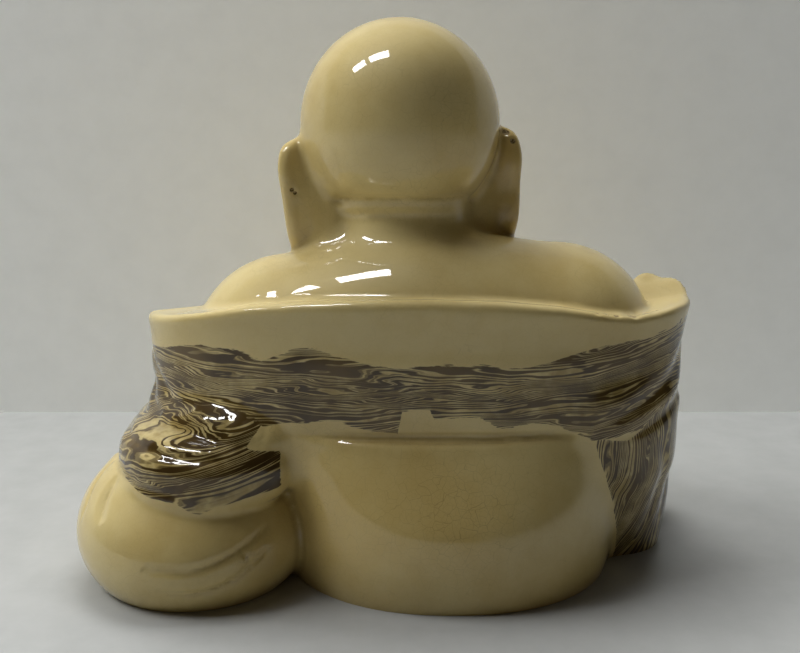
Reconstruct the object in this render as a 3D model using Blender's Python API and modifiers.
"""Seated budai in cream glazed earthenware, his marbled robe off the shoulders, leaning on his sack.

The figure is one solid. It is modelled like a clay sketch: round blanks are laid over one another and
fused with a voxel remesh, and every point is then settled onto a field of blended forms, into which the
folds, rolls and features are pressed. Lengths of the forms are in millimetres, +Z up, the figure facing -Y,
with the middle of the head at X = 0. The mesh is moved to the middle of its footprint and scaled to metres.
"""
import math

import bmesh
import bpy
import numpy as np
from mathutils import Matrix, Vector

MM = 0.001

# Driving dimensions
HEAD_CENTRE = np.array((0.0, -2.0, 163.0))
HEAD_SIZE = 1.028
HEAD_YAW = 8.0
HEAD_TILT = 3.5
SACK_CENTRE = np.array((75.3, 24.0, 19.0))
ROBE_MIDDLE_Y = -4.0
SEAT_MIDDLE_Y = 5.0
LEDGE_Z = 57.0

# Fineness of the solid
VOXEL = 2.0
TRIANGLES = 9000

GLAZE_COLOUR = (0.62, 0.52, 0.30, 1.0)


def turn(rx=0.0, ry=0.0, rz=0.0):
    """A turn about X, then Y, then Z, in degrees, as a 3 x 3 array."""
    spin = Matrix.Rotation(math.radians(rz), 3, "Z")
    spin = spin @ Matrix.Rotation(math.radians(ry), 3, "Y")
    return np.array(spin @ Matrix.Rotation(math.radians(rx), 3, "X"))


HEAD_TURN = turn(ry=HEAD_TILT, rz=HEAD_YAW)


def on_head(x, y, z):
    """A point given from the middle of the upright head, on a head 72 mm wide."""
    return HEAD_CENTRE + HEAD_TURN @ (HEAD_SIZE * np.array((x, y, z), float))


def smooth_path(points, steps=6):
    """A Catmull-Rom curve through the points; each may carry further columns, such as a radius."""
    p = np.array(points, float)
    if len(p) < 3:
        return p
    p = np.vstack([2 * p[0] - p[1], p, 2 * p[-1] - p[-2]])
    curve = []
    for i in range(1, len(p) - 2):
        for s in range(steps):
            t = s / steps
            curve.append(0.5 * (2 * p[i] + (p[i + 1] - p[i - 1]) * t
                                + (2 * p[i - 1] - 5 * p[i] + 4 * p[i + 1] - p[i + 2]) * t ** 2
                                + (3 * p[i] - p[i - 1] - 3 * p[i + 1] + p[i + 2]) * t ** 3))
    curve.append(p[-2])
    return np.array(curve)


class Ellipsoid:
    def __init__(self, centre, radii, spin=None):
        self.centre = np.array(centre, float)
        self.radii = np.array(radii, float)
        self.spin = np.eye(3) if spin is None else spin
        self.reach = self.radii.max()

    def distance(self, points):
        local = (points - self.centre) @ self.spin
        k0 = np.linalg.norm(local / self.radii, axis=1)
        k1 = np.linalg.norm(local / self.radii ** 2, axis=1)
        return k0 * (k0 - 1.0) / np.maximum(k1, 1e-9)

    def blanks(self):
        shape = Matrix([list(row) for row in self.spin]) @ Matrix.Diagonal(Vector(self.radii))
        return [Matrix.Translation(Vector(self.centre)) @ shape.to_4x4()]


class Tube:
    """A rope of clay along a curve, with a radius at each point."""

    def __init__(self, points, steps=4):
        path = smooth_path(points, steps)
        self.path = path[:, :3]
        self.radius = path[:, 3]
        self.centre = (self.path.min(0) + self.path.max(0)) / 2
        self.reach = np.linalg.norm(self.path - self.centre, axis=1).max() + self.radius.max()

    def distance(self, points):
        return along(points, self.path, self.radius)[0]

    def blanks(self):
        beads = []
        for i in range(len(self.path) - 1):
            length = np.linalg.norm(self.path[i + 1] - self.path[i])
            count = max(1, math.ceil(length / (0.5 * self.radius[i:i + 2].min())))
            for t in np.arange(count + 1) / count:
                place = self.path[i] + t * (self.path[i + 1] - self.path[i])
                radius = self.radius[i] + t * (self.radius[i + 1] - self.radius[i])
                beads.append(Matrix.Translation(Vector(place)) @ Matrix.Scale(radius, 4))
        return beads


def along(points, path, radius):
    """Distance from a rope of that radius, and the share of the way along it, for each point."""
    best = np.full(len(points), 1e9)
    where = np.zeros(len(points))
    for i in range(len(path) - 1):
        step = path[i + 1] - path[i]
        t = np.clip((points - path[i]) @ step / max(step @ step, 1e-9), 0, 1)
        d = np.linalg.norm(points - path[i] - t[:, None] * step, axis=1)
        d = d - (radius[i] + t * (radius[i + 1] - radius[i]))
        nearer = d < best
        best = np.where(nearer, d, best)
        where = np.where(nearer, (i + t) / (len(path) - 1), where)
    return best, where


class Drum:
    """An upright wall. Its profile lists height, middle across, half width, half depth and squareness."""

    def __init__(self, middle_y, profile, top, bottom, edge, front=None):
        self.middle_y = middle_y
        self.profile = smooth_path(profile, 8)
        self.top = top
        self.bottom = bottom
        self.edge = edge
        self.front = front
        highest, across, half_width = self.profile[-1, :3]
        self.centre = np.array((across, middle_y + 12, (bottom + highest) / 2))
        self.reach = math.hypot(half_width + 14, (highest - bottom) / 2)

    def outside(self, points):
        """About how far the points lie outside the plan at their height."""
        x, y, z = points.T
        middle, a, b, n = (np.interp(z, self.profile[:, 0], self.profile[:, k]) for k in (1, 2, 3, 4))
        u = np.abs(x - middle) / a
        v = np.abs(y - self.middle_y) / b
        level = np.maximum(u ** n + v ** n, 1e-12) ** (1 / n)
        slope = np.hypot(u ** (n - 1) / a, v ** (n - 1) / b) / np.maximum(level, 1e-6) ** (n - 1)
        return (level - 1) / np.maximum(slope, 1e-4)

    def distance(self, points):
        x, y, z = points.T
        wall = self.outside(points)
        body = soft_max(wall, z - self.top(x, y, wall), self.edge)
        if self.front is not None:
            body = soft_max(body, self.front - y, 16.0)
        return soft_max(body, self.bottom - z, 10.0)


def rim_height(x, y, wall):
    """The robe's upper surface: its edge rises and falls along the back, and it dips towards the body."""
    knots = np.array(((-112, 100.5), (-100, 100.0), (-90, 98.8), (-82, 98.6), (-72, 99.8), (-54, 103.3),
                      (-33, 105.6), (-10, 106.4), (16, 106.0), (33, 105.1), (51, 103.3), (70, 99.3),
                      (94, 94.5), (110, 93.0)))
    edge = np.interp(x, knots[:, 0], knots[:, 1])
    lift = np.clip(6 - y, 0, 22)
    right_front = 0.6 * lift ** 2 / (lift + 6) * np.clip((-x - 60) / 25, 0, 1)
    left_front = np.clip(8 - y, 0, 40) * 0.45 * np.clip((x - 45) / 25, 0, 1)
    return edge + right_front - left_front - 0.10 * np.clip(-wall, 0, 25)


def ledge_height(x, y, wall):
    """The skirt's upper edge, lowest in the middle of the back."""
    return LEDGE_Z + 1.8 * np.clip(np.abs(x + 18) / 50, 0, 1) ** 2 - 0.2 * np.clip(-wall, 0, 12)


def soft_min(a, b, k):
    h = np.clip(0.5 + 0.5 * (b - a) / k, 0, 1)
    return b + (a - b) * h - k * h * (1 - h)


def soft_max(a, b, k):
    return -soft_min(-a, -b, k)


class Sculpture:
    """The field of all the forms: negative inside the clay, zero on its surface, in millimetres."""
    margin = 10.0

    def __init__(self):
        self.steps = []
        self.forms = []

    def lay(self, form, blend=4.0, blank=True):
        """Lays a form on the clay and smooths it in over about that width."""
        self.steps.append(("lay", form, blend))
        if blank:
            self.forms.append(form)

    def carve(self, form, blend=2.0):
        """Cuts a form out of the clay."""
        self.steps.append(("carve", form, blend))

    def score(self, points, width, depth, steps=6):
        """Draws a groove along a curve, fading at both ends. A negative depth raises a ridge."""
        path = self.settle(smooth_path(points, steps)[:, :3], 5)
        self.steps.append(("score", path, width, depth))

    def dent(self, centre, width, depth):
        """Presses a round hollow in. A negative depth raises a bump."""
        place = self.settle(np.array([centre], float), 5)[0]
        self.steps.append(("dent", place, width, depth))

    def distance(self, points):
        d = np.full(len(points), 60.0)
        for step in self.steps:
            kind = step[0]
            if kind in ("lay", "carve"):
                form, blend = step[1:]
                near = np.linalg.norm(points - form.centre, axis=1) < form.reach + blend + self.margin
                if not near.any():
                    continue
                own = form.distance(points[near])
                d[near] = soft_min(d[near], own, blend) if kind == "lay" else soft_max(d[near], -own, blend)
            elif kind == "score":
                path, width, depth = step[1:]
                middle = (path.min(0) + path.max(0)) / 2
                reach = np.linalg.norm(path - middle, axis=1).max() + 3 * width
                near = np.linalg.norm(points - middle, axis=1) < reach
                if not near.any():
                    continue
                away, where = along(points[near], path, np.zeros(len(path)))
                fade = np.sin(np.pi * np.clip(where, 0.0, 1.0)) ** 0.6
                d[near] += depth * fade * np.exp(-(away / width) ** 2)
            else:
                centre, width, depth = step[1:]
                away = np.linalg.norm(points - centre, axis=1)
                d += depth * np.exp(-(away / width) ** 2)
        return d

    def slope(self, points, step=0.05):
        """Gradient of the field, from four samples round each point."""
        total = np.zeros_like(points)
        for corner in ((1, -1, -1), (-1, -1, 1), (-1, 1, -1), (1, 1, 1)):
            c = np.array(corner, float)
            total += c * self.distance(points + step * c)[:, None]
        return total / (4 * step)

    def settle(self, points, rounds, longest=2.5):
        """Moves the points onto the surface by Newton steps, two with each slope."""
        for _ in range(rounds):
            slope = self.slope(points)
            steepness = np.maximum(np.linalg.norm(slope, axis=1), 0.35)
            for _ in range(2):
                step = np.clip(-self.distance(points) / steepness, -longest, longest)
                points = points + slope * (step / steepness)[:, None]
        return points


def model_torso(clay):
    """Bare shoulders, chest and belly."""
    clay.lay(Tube([(-58.5, 8, 84, 36.3), (-8, 8, 86, 36), (41.5, 8, 79.5, 36.3)]))
    clay.lay(Ellipsoid((-8, 12, 87), (60, 36.5, 36.8)), blend=10)
    clay.lay(Ellipsoid((-6, -8, 84), (54, 38, 32)), blend=12)
    for x in (-29, 18):
        clay.lay(Ellipsoid((x, -28, 85), (24, 17, 17)), blend=8)
    clay.lay(Ellipsoid((-5, -24, 46), (55, 44, 37)), blend=6)
    clay.dent((-5, -69, 45), 4.2, 5.0)
    clay.score([(-56, -34, 74), (-30, -46, 68), (-5, -50, 72), (20, -46, 68), (46, -32, 74)], 3.0, 2.2)
    clay.score([(-50, -48, 40), (-28, -60, 33), (-5, -66, 30), (18, -60, 33), (40, -48, 40)], 2.4, 1.2)
    clay.score([(-5.5, -40, 96), (-5.5, -44, 86), (-5.5, -46, 76)], 3.0, 1.4)


def model_robe(clay):
    """The wall of the slipped robe round his back and arms, open at the front."""
    profile = [(36, -6.5, 99.5, 54.4, 2.5), (50, -6.5, 100, 54.6, 2.5), (62, -6.5, 100.5, 54.8, 2.5),
               (74, -6.5, 101, 55.2, 2.5), (82, -6.5, 101.5, 55.8, 2.5), (89, -6.5, 102, 55.4, 2.5),
               (95, -6.5, 103, 55.7, 2.5), (101, -6.5, 104, 56.5, 2.5), (108, -6.5, 104, 56.6, 2.5)]
    clay.lay(Drum(ROBE_MIDDLE_Y, profile, rim_height, 36.0, 3.5, front=-16.0), blend=2.0)
    clay.lay(Tube([(-82, -12, 84, 17), (-74, -22, 60, 20), (-58, -26, 34, 22)]), blend=6)
    clay.lay(Tube([(80, -4, 74, 16), (72, -18, 58, 18.5), (54, -26, 34, 22)]), blend=6)
    right = [(-98, -14, 101, 4), (-92, -26, 91, 4.5), (-80, -36, 76, 5), (-68, -43, 58, 5),
             (-52, -52, 36, 5)]
    left = [(90, -10, 86, 4), (85, -22, 77, 4.5), (76, -33, 65, 5), (64, -40, 52, 5), (47, -50, 36, 5)]
    for border in (right, left):
        clay.lay(Tube(border), blend=4)
    clay.score([(-95, -8, 92), (-88, -20, 80), (-77, -30, 64), (-64, -38, 46)], 2.6, 1.6)
    clay.score([(90, -2, 80), (84, -14, 68), (72, -28, 54), (58, -36, 42)], 2.6, 1.8)
    clay.score([(86, 4, 70), (80, -8, 60), (68, -22, 48)], 2.4, 1.6)


def model_seat(clay):
    """The skirt round the hips, bulging below a soft ledge."""
    profile = [(-10, -18, 60, 57, 2.2), (3, -18, 63.5, 61, 2.2), (15, -18, 65, 62.5, 2.2),
               (30, -17.5, 65, 60.5, 2.3), (44, -15, 65, 54.5, 2.6), (53, -13, 65.5, 49.8, 2.9),
               (60, -12, 66, 48.0, 3.0)]
    clay.lay(Drum(SEAT_MIDDLE_Y, profile, ledge_height, -10.0, 3.0), blend=1.5)
    clay.score([(42, 46, 59), (24, 49, 58.8), (0, 50, 58.5), (-24, 49.5, 58.5), (-46, 47.5, 58.4),
                (-66, 44, 58)], 1.6, 0.9)


def model_legs(clay):
    """Crossed legs under the skirt, with pressed folds, and the feet before them."""
    clay.lay(Tube([(-36, -6, 26, 25), (-60, -22, 22, 22), (-82, -38, 16, 18)]), blend=8)
    clay.lay(Tube([(-82, -38, 13.5, 17), (-54, -52, 11.5, 14.5), (-24, -60, 9, 11.5), (4, -64, 8, 9)]),
             blend=6)
    clay.lay(Tube([(26, -6, 26, 25), (48, -26, 22, 22), (66, -44, 15.5, 18)]), blend=8)
    clay.lay(Tube([(66, -44, 13.5, 16), (44, -54, 11, 14), (20, -58, 9, 11)]), blend=6)
    clay.lay(Tube([(-50, -36, 30, 6), (-28, -56, 24, 5.5), (-5, -63, 22, 5.5), (18, -56, 24, 5.5),
                   (40, -36, 30, 6)]), blend=2.5)
    for side, heel in ((1, 13), (-1, -20)):
        model_foot(clay, side, heel)
    for s in (0, 9, 18):
        clay.score([(-88 + s, -50, 26), (-80 + s, -56 - 0.3 * s, 16), (-66 + s, -58, 5)], 2.0, 1.5)
        clay.score([(74 - s, -54, 26), (66 - s, -60 - 0.2 * s, 16), (52 - s, -62, 5)], 2.0, 1.5)
    clay.score([(-64, -38, 42), (-78, -30, 36), (-96, -34, 24)], 2.2, 1.6)
    clay.score([(50, -38, 42), (62, -34, 36), (80, -40, 24)], 2.2, 1.6)


def model_foot(clay, side, heel):
    """A bare foot lying on its outer edge, its toes pointing away from the middle."""
    clay.lay(Ellipsoid((heel + 10 * side, -71, 7.5), (17, 7.5, 8)), blend=4)
    clay.lay(Ellipsoid((heel + 20 * side, -71.5, 7.5), (9, 7, 8.5)), blend=3)
    for i, size in enumerate((4.0, 3.0, 2.9, 2.7, 2.4)):
        toe = (heel + (29.0, 30.2, 29.8, 28.6, 27.0)[i] * side, -74.5 + 0.5 * i, 14.5 - 2.9 * i)
        clay.lay(Ellipsoid(toe, (size + 2.4, size, size)), blend=0.9)


def model_sack(clay):
    """The cloth sack at his left, with pressed folds running to its gathered neck."""
    clay.lay(Ellipsoid(SACK_CENTRE, (44.5, 45, 31), turn(rx=-10)), blend=3.0)
    clay.lay(Tube([(78, 10, 26, 30), (80, -16, 34, 20), (82, -34, 44, 11), (82, -40, 56, 7)]), blend=8)
    clay.lay(Tube([(82, -43, 58, 7), (83, -46, 64, 7.5), (84, -48, 68, 8.5)]), blend=3)
    clay.lay(Ellipsoid((84, -49, 70), (11, 10, 4.5), turn(rx=14)), blend=2)
    clay.dent((84, -50, 76), 5.0, 3.5)
    for i in range(7):
        across, front = math.cos(0.9 * i), math.sin(0.9 * i)
        clay.score([(83 + 6 * across, -46 + 6 * front, 63), (84 + 12 * across, -49 + 11 * front, 70),
                    (84 + 5 * across, -50 + 5 * front, 75)], 1.6, 1.6)
    clay.score([(86, 68, 18.8), (80, 69, 17.6), (73, 69, 17.2), (66, 68, 18.2), (60, 66, 20),
                (54, 63, 22.6), (48, 58, 26), (44.5, 54, 29)], 1.3, 1.5)
    clay.score([(82, 67, 10.6), (74, 67, 9.2), (64, 66, 9.8), (57, 64, 12.2), (51, 61, 16.3),
                (44.5, 57, 20.6)], 1.2, 1.3)
    clay.score([(114, 44, 25), (113, 41, 31), (112, 35, 35), (110, 30, 38.5), (106, 26, 42)], 1.1, 1.1)
    clay.score([(104, 55, 29), (105, 50, 34), (104, 46, 37.5), (101, 40, 42)], 2.2, 1.5)
    clay.score([(53.6, 63, 22.6), (51, 61.2, 18)], 0.9, 0.7)
    for i in range(5):
        x = 60 + 11 * i
        pleat = [(82 + 0.25 * (x - 82), -46, 44), (x, -44, 34), (82 + 1.5 * (x - 82), -36, 18)]
        clay.score(pleat, 2.0, 1.8)


def model_right_sleeve(clay):
    """The long sleeve over his right arm, hanging to the ground and open in front round the wrist."""
    clay.lay(Tube([(-89, -2, 80, 14), (-89.5, -2, 50, 16), (-89.5, 0, 24, 16), (-88, 0, 4, 15.5)]), blend=6)
    clay.lay(Tube([(-82.5, 16, 66, 20), (-83, 14, 46, 20), (-84.5, 7, 24, 18.5), (-85, -2, 4, 17)]),
             blend=8)
    clay.lay(Tube([(-69, 25, 62, 19), (-72, 21, 46, 20), (-76.5, 12, 26, 18.5), (-79, -1, 4, 17)]), blend=8)
    clay.lay(Tube([(-92, -14, 54, 15), (-90, -30, 46, 14), (-86, -42, 43, 11.5)]), blend=8)
    clay.lay(Tube([(-95, -16, 42, 14), (-97, -24, 24, 17), (-96, -26, 5, 17)]), blend=8)
    clay.lay(Tube([(-78, -46, 50, 2.6), (-87, -49, 54, 2.8), (-97, -45, 50, 3), (-103, -41, 36, 3),
                   (-106, -40, 20, 3), (-104, -40, 4, 3)]), blend=3)
    clay.score([(-104, 20, 60), (-106, 16, 40), (-102, 18, 10)], 3.0, 0.9)
    clay.score([(-92, 30, 52), (-96, 25, 34), (-93, 23, 8)], 3.0, 0.8)
    clay.score([(-66, 47, 60), (-88, 38, 68), (-104, 20, 80), (-109, 2, 90)], 3.0, 1.3)
    clay.score([(-76, 42, 54), (-96, 30, 62), (-107, 10, 74), (-108, -8, 80)], 2.6, 1.4)
    clay.score([(-108, 8, 76), (-112, -12, 64), (-108, -30, 56)], 2.4, 2.0)
    clay.score([(-104, 22, 70), (-112, 4, 58), (-114, -20, 44), (-112, -34, 28)], 2.4, 2.0)
    clay.score([(-100, 20, 58), (-110, 4, 44), (-116, -16, 28), (-114, -30, 10)], 2.4, 2.0)


def model_left_sleeve(clay):
    """The bunched sleeve over his left arm, in soft rolls lying on the sack."""
    clay.lay(Tube([(83, -18, 60, 11), (85, 0, 58, 12), (83, 17, 56, 11.5), (74, 32, 55.5, 11.5),
                   (61, 39.5, 55.5, 11.5), (47, 41, 54, 9)]), blend=4)
    clay.lay(Tube([(91, -20, 46, 11), (93.5, -3, 45, 12), (92.5, 14, 45.5, 12), (90, 31, 46, 12),
                   (80.5, 44.5, 46, 12.5), (68, 48.5, 45.5, 12), (55, 46, 46, 10.5), (46, 44, 46, 8.5)]),
             blend=2)
    clay.lay(Tube([(94, -18, 36, 12), (97, -2, 35, 11), (96, 14, 36, 10.5), (91.5, 32.5, 38.5, 10.5),
                   (82, 46, 39, 11), (69, 50.5, 38.5, 11), (56, 47, 40, 10), (47, 45, 42, 8)]), blend=2)
    clay.lay(Tube([(76, -27, 60, 2.8), (86, -30, 57, 2.8), (94, -29, 50, 2.8), (99, -28, 40, 2.8),
                   (98, -28, 30, 2.8)]), blend=3)
    clay.score([(103, -4, 52), (100, 16, 52), (94, 36, 52), (84, 50, 52), (69, 55.5, 51), (55, 53, 50)],
               1.6, 1.5)
    clay.score([(108, 0, 40), (106, 17, 41), (100, 36, 42), (89, 54, 42), (73, 61, 41)], 1.3, 1.0)
    clay.score([(95, 0, 82), (96, 12, 76), (90, 30, 70), (74, 42, 66)], 2.2, 1.3)
    clay.score([(96, 4, 70), (94, 18, 64), (84, 32, 60)], 2.0, 1.3)


def model_arms(clay):
    """Forearms and hands: the right on the knee, the left round the neck of the sack."""
    clay.lay(Tube([(-88, -30, 46, 9), (-80, -50, 42, 7.5)]), blend=2)
    clay.lay(Ellipsoid((-77, -58, 38), (9.5, 9, 5.5), turn(rx=28, rz=-18)), blend=3)
    for i in range(4):
        x = -85 + 5.4 * i
        reach = (13, 15, 15, 12)[i]
        clay.lay(Tube([(x + 1, -61, 37, 3.3), (x + 3, -63 - 0.45 * reach, 32, 3.2),
                       (x + 5, -62 - 0.55 * reach, 32 - 0.75 * reach, 2.8)]), blend=1.0)
    clay.lay(Tube([(-70, -53, 39, 3.6), (-65, -59, 36, 3.4), (-62, -64, 32.5, 3.0)]), blend=1.5)
    clay.lay(Tube([(87, -14, 54, 10), (87, -30, 54, 8.5), (86, -38, 55, 7.5)]), blend=3)
    clay.lay(Ellipsoid((88, -43, 54), (9, 10, 10.5)), blend=3)
    for i, tip in enumerate((79, 77.5, 78.5, 81)):
        z = 61.5 - 4.9 * i
        clay.lay(Tube([(95, -44, z - 0.5, 3.4), (92, -52, z - 0.6, 3.4), (85, -56, z - 1.2, 3.2),
                       (tip, -54.5, z - 1.6, 3.0)]), blend=1.0)
    clay.lay(Tube([(84, -42, 64, 3.8), (77, -46, 64, 3.5), (73.5, -51, 61, 3.0)]), blend=1.8)


def on_face(clay, x, z, lift=0.0):
    """A point on the front of the head as it stands so far, lifted off it by that much."""
    line = np.array([on_head(x, y, z) for y in np.linspace(-60, -5, 441)])
    first = int(np.argmax(clay.distance(line) < 0))
    return line[first] + HEAD_TURN @ np.array((0, -lift, 0))


def model_head(clay):
    """The bald head, with full cheeks and a double chin."""
    clay.lay(Tube([(-2, -5, 112, 27), (0, -2, 138, 26.5)]), blend=9)
    clay.lay(Ellipsoid(HEAD_CENTRE, (37, 38.5, 38.3), HEAD_TURN), blend=3)
    clay.lay(Ellipsoid(on_head(0, -11, -14), (30, 28, 25), HEAD_TURN), blend=8)
    for side in (-1, 1):
        clay.lay(Ellipsoid(on_head(16 * side, -23, -15), (13, 12, 12), HEAD_TURN), blend=9, blank=False)
    clay.lay(Ellipsoid(on_head(0, -31, -31), (10, 7.5, 7), HEAD_TURN), blend=7)
    clay.lay(Ellipsoid(on_head(0, -17, -37), (23, 18, 8), HEAD_TURN), blend=7)
    clay.score([(-27, -2, 136), (-19, 17, 137.5), (0, 25, 138), (19, 17, 137), (27, -2, 136)], 2.2, 1.5)
    clay.score([(-27, -2, 128), (-19, 17, 130), (0, 25, 131), (19, 17, 130), (27, -2, 128)], 3.2, 1.2)


def face_line(clay, spots, lift=0.0):
    """Points on the face from places across and up; a third number is kept as a radius."""
    return [tuple(on_face(clay, s[0], s[1], lift)) + tuple(s[2:]) for s in spots]


def model_face(clay):
    """A calm, plain face: lowered lids, a broad nose and closed, faintly smiling lips."""
    for side in (-1, 1):
        brow = face_line(clay, [(5 * side, 4.5, 1.4), (13 * side, 8, 2.3), (22 * side, 6.5, 2.1),
                                (28 * side, 2, 1.2)], -1.3)
        clay.lay(Tube(brow), blend=5, blank=False)
        clay.dent(on_face(clay, 12.8 * side, -2.5), 8.5, 2.8)
    bridge = [on_face(clay, 0, z, lift) for z, lift in ((2, -1.8), (-5, -0.4), (-12, 0.8))]
    clay.lay(Tube([tuple(p) + (r,) for p, r in zip(bridge, (3.2, 3.6, 4.2))]), blend=3)
    clay.lay(Ellipsoid(bridge[2], (5.2, 4.6, 4.2), HEAD_TURN), blend=2)
    for side in (-1, 1):
        clay.lay(Ellipsoid(on_face(clay, 6.6 * side, -13.5, -0.6), (3.2, 3.8, 3.0), HEAD_TURN), blend=1.4)
        clay.lay(Ellipsoid(on_face(clay, 12.8 * side, -4.2, -2.4), (8.2, 4.6, 4.8), HEAD_TURN), blend=1.8,
                 blank=False)
        below = [(7 * side, -9, 0.8), (12.8 * side, -10.6, 1.4), (19.5 * side, -8.6, 0.8)]
        clay.lay(Tube(face_line(clay, below, -0.7)), blend=3, blank=False)
        lid_line = [(5.2 * side, -5.6), (12.8 * side, -7.6), (20.8 * side, -4.8)]
        clay.score(face_line(clay, lid_line), 0.9, 1.1)
        clay.score(face_line(clay, [(7.5 * side, -13), (12 * side, -17.5), (14 * side, -24)]), 1.8, 1.2)
        clay.dent(on_face(clay, 2.8 * side, -16.2, -1.0), 1.3, 1.6)
    upper = [(-10, -21, 0.9), (-4.5, -20.4, 1.9), (0, -20.9, 1.8), (4.5, -20.4, 1.9), (10, -21, 0.9)]
    lower = [(-8, -23.4, 0.9), (-3, -24.8, 2.1), (3, -24.8, 2.1), (8, -23.4, 0.9)]
    clay.lay(Tube(face_line(clay, upper, -0.6)), blend=1.4, blank=False)
    clay.lay(Tube(face_line(clay, lower, -0.8)), blend=1.4, blank=False)
    parting = [(-11.5, -20.6), (-5, -22.4), (0, -22.1), (5, -22.4), (11.5, -20.6)]
    clay.score(face_line(clay, parting), 0.9, 1.5)
    for side in (-1, 1):
        clay.dent(on_face(clay, 11.8 * side, -20.6), 2.0, 1.2)
    clay.score(face_line(clay, [(0, -17.4), (0, -18.6), (0, -19.8)]), 1.2, 0.7)


def model_ears(clay):
    """Long lobes, standing off the head so that their backs show from behind, joined to the neck."""
    near = [(27, -2, -14, 8), (26, 0, -32, 8.5), (25, 2, -44, 9)]
    full = [(31, 1, -10, 7.5), (31, 2, -24, 8.5), (29, 3, -36, 9), (27, 4, -45, 9)]
    for side, across, root, width in ((-1, 34.6, near, 5), (1, 37.2, full, 7)):
        flare = HEAD_TURN @ turn(rz=-40 * side)
        middle = on_head(across * side, 3, -15)
        clay.lay(Ellipsoid(middle, (3.8, 9.5, 12.0), flare), blend=3)
        clay.lay(Ellipsoid(on_head((across - 1.5) * side, 2, -32), (3.8, 9.0, 17.5), flare), blend=3)
        clay.lay(Tube([tuple(on_head(x * side, y, z)) + (r,) for x, y, z, r in root]), blend=width)
        rim = [(-6, -8), (-7, 2), (-2, 9), (5, 8.5), (7.5, 2), (6.5, -8), (5, -22), (1, -31)]
        rim = [middle + flare @ np.array((1.4 * side, y, z)) for y, z in rim]
        clay.lay(Tube([tuple(point) + (2.5,) for point in rim]), blend=2.0)
        hollow = [(-3, 5), (2, 5.5), (3.5, 0), (2.5, -8), (0.5, -16), (-0.5, -24)]
        clay.score([middle + flare @ np.array((4 * side, y, z)) for y, z in hollow], 2.4, 1.9)
        clay.dent(middle + flare @ np.array((4 * side, -1, -2)), 2.6, 1.5)


def model_figure():
    """All the forms, in the order in which they are put on."""
    clay = Sculpture()
    model_torso(clay)
    model_robe(clay)
    model_seat(clay)
    model_legs(clay)
    model_sack(clay)
    model_right_sleeve(clay)
    model_left_sleeve(clay)
    model_arms(clay)
    model_head(clay)
    model_ears(clay)
    model_face(clay)
    return clay


def positions(verts):
    """The places of the verts as an array, in millimetres."""
    return np.array([v.co for v in verts], float).reshape(-1, 3)


def cast_blank(bm, form):
    """A ball whose points are thrown outward from the form's middle until they meet its surface."""
    made = bmesh.ops.create_icosphere(bm, subdivisions=5, radius=1.0)["verts"]
    rays = positions(made)
    near = np.zeros(len(rays))
    far = np.full(len(rays), 200.0)
    for _ in range(24):
        middle = (near + far) / 2
        inside = form.distance(form.centre + rays * middle[:, None]) < 0
        near = np.where(inside, middle, near)
        far = np.where(inside, far, middle)
    for vert, ray, length in zip(made, rays, near):
        vert.co = Vector(form.centre + ray * length)


def remeshed(mesh, voxel):
    """The mesh fused into one even skin by a voxel remesh."""
    blanks = bpy.data.objects.new("blanks", mesh)
    bpy.context.scene.collection.objects.link(blanks)
    remesh = blanks.modifiers.new("fuse", "REMESH")
    remesh.mode = "VOXEL"
    remesh.voxel_size = voxel
    graph = bpy.context.evaluated_depsgraph_get()
    fused = bpy.data.meshes.new_from_object(blanks.evaluated_get(graph))
    bpy.data.objects.remove(blanks)
    bpy.data.meshes.remove(mesh)
    return fused


def fused_blank(clay, voxel):
    """One closed mesh round all the blanks, in millimetres."""
    bm = bmesh.new()
    bmesh.ops.create_icosphere(bm, subdivisions=3, radius=1.0)
    ball = bpy.data.meshes.new("ball")
    bm.to_mesh(ball)
    bm.clear()
    for form in clay.forms:
        if isinstance(form, Drum):
            cast_blank(bm, form)
            continue
        for matrix in form.blanks():
            blank = ball.copy()
            blank.transform(matrix)
            bm.from_mesh(blank)
            bpy.data.meshes.remove(blank)
    mesh = bpy.data.meshes.new("blanks")
    bm.to_mesh(mesh)
    bm.free()
    bpy.data.meshes.remove(ball)
    return remeshed(mesh, voxel)


def largest_piece(bm):
    """Deletes every loose piece but the largest, such as the wall of an enclosed hollow."""
    left = set(bm.verts)
    pieces = []
    while left:
        start = left.pop()
        piece = {start}
        front = [start]
        while front:
            vert = front.pop()
            for edge in vert.link_edges:
                other = edge.other_vert(vert)
                if other in left:
                    left.remove(other)
                    piece.add(other)
                    front.append(other)
        pieces.append(piece)
    pieces.sort(key=len)
    for piece in pieces[:-1]:
        bmesh.ops.delete(bm, geom=list(piece), context="VERTS")


def sculpt(clay, voxel):
    """The settled surface as a bmesh, in millimetres: roughly at first, then on an even skin."""
    mesh = fused_blank(clay, 3.0)
    for size, rounds in ((voxel, 2), (None, 3)):
        bm = bmesh.new()
        bm.from_mesh(mesh)
        largest_piece(bm)
        for smooth in (True, True, False):
            points = clay.settle(positions(bm.verts), rounds)
            for vert, point in zip(bm.verts, points):
                vert.co = point
            if smooth:
                bmesh.ops.smooth_vert(bm, verts=bm.verts, factor=0.5, use_axis_x=True, use_axis_y=True,
                                      use_axis_z=True)
            rounds = 1
        if size is None:
            break
        bm.to_mesh(mesh)
        bm.free()
        mesh = remeshed(mesh, size)
    bpy.data.meshes.remove(mesh)
    return bm


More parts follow.
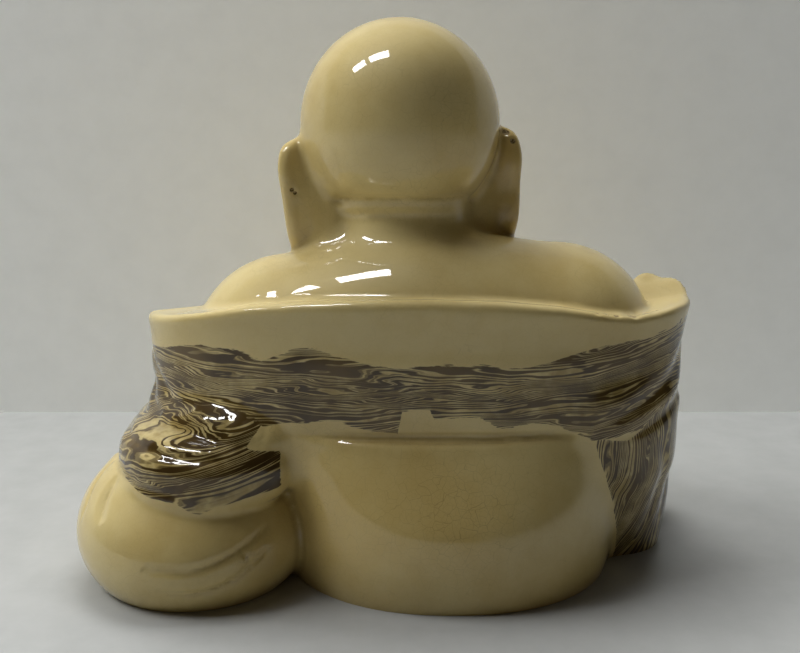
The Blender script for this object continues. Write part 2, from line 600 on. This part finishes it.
def stand_flat(bm):
    """Cuts the underside off level at Z = 0 and closes it."""
    everything = bm.verts[:] + bm.edges[:] + bm.faces[:]
    cut = bmesh.ops.bisect_plane(bm, geom=everything, dist=1e-4, plane_co=(0, 0, 0), plane_no=(0, 0, -1),
                                 clear_outer=True)
    rim = [e for e in cut["geom_cut"] if isinstance(e, bmesh.types.BMEdge)]
    bmesh.ops.holes_fill(bm, edges=rim, sides=0)
    bmesh.ops.recalc_face_normals(bm, faces=bm.faces)


def glaze_material():
    glaze = bpy.data.materials.new("cream_glaze")
    glaze.use_nodes = True
    shader = glaze.node_tree.nodes["Principled BSDF"]
    shader.inputs["Base Color"].default_value = GLAZE_COLOUR
    shader.inputs["Roughness"].default_value = 0.2
    return glaze


def thinned(bm, triangles):
    """The mesh collapsed to about that many triangles, keeping its carving."""
    mesh = bpy.data.meshes.new("thinned")
    bmesh.ops.triangulate(bm, faces=bm.faces[:])
    count = len(bm.faces)
    bm.to_mesh(mesh)
    bm.free()
    holder = bpy.data.objects.new("thinned", mesh)
    bpy.context.scene.collection.objects.link(holder)
    collapse = holder.modifiers.new("collapse", "DECIMATE")
    collapse.ratio = triangles / count
    graph = bpy.context.evaluated_depsgraph_get()
    result = bmesh.new()
    result.from_mesh(holder.evaluated_get(graph).to_mesh())
    bpy.data.objects.remove(holder)
    bpy.data.meshes.remove(mesh)
    return result


def main():
    for obj in list(bpy.data.objects):
        bpy.data.objects.remove(obj)
    clay = model_figure()
    bm = thinned(sculpt(clay, VOXEL), TRIANGLES)
    stand_flat(bm)
    bmesh.ops.triangulate(bm, faces=bm.faces[:])
    points = positions(bm.verts)
    middle = (points.min(axis=0) + points.max(axis=0)) / 2
    middle[2] = 0.0
    print("middle of the footprint", middle)
    for vert in bm.verts:
        vert.co = (vert.co - Vector(middle)) * MM
    mesh = bpy.data.meshes.new("figure")
    bm.to_mesh(mesh)
    bm.free()
    mesh.materials.append(glaze_material())
    figure = bpy.data.objects.new("figure", mesh)
    collection = bpy.data.collections.new("budai_figure")
    bpy.context.scene.collection.children.link(collection)
    collection.objects.link(figure)


if __name__ == "__main__":
    main()
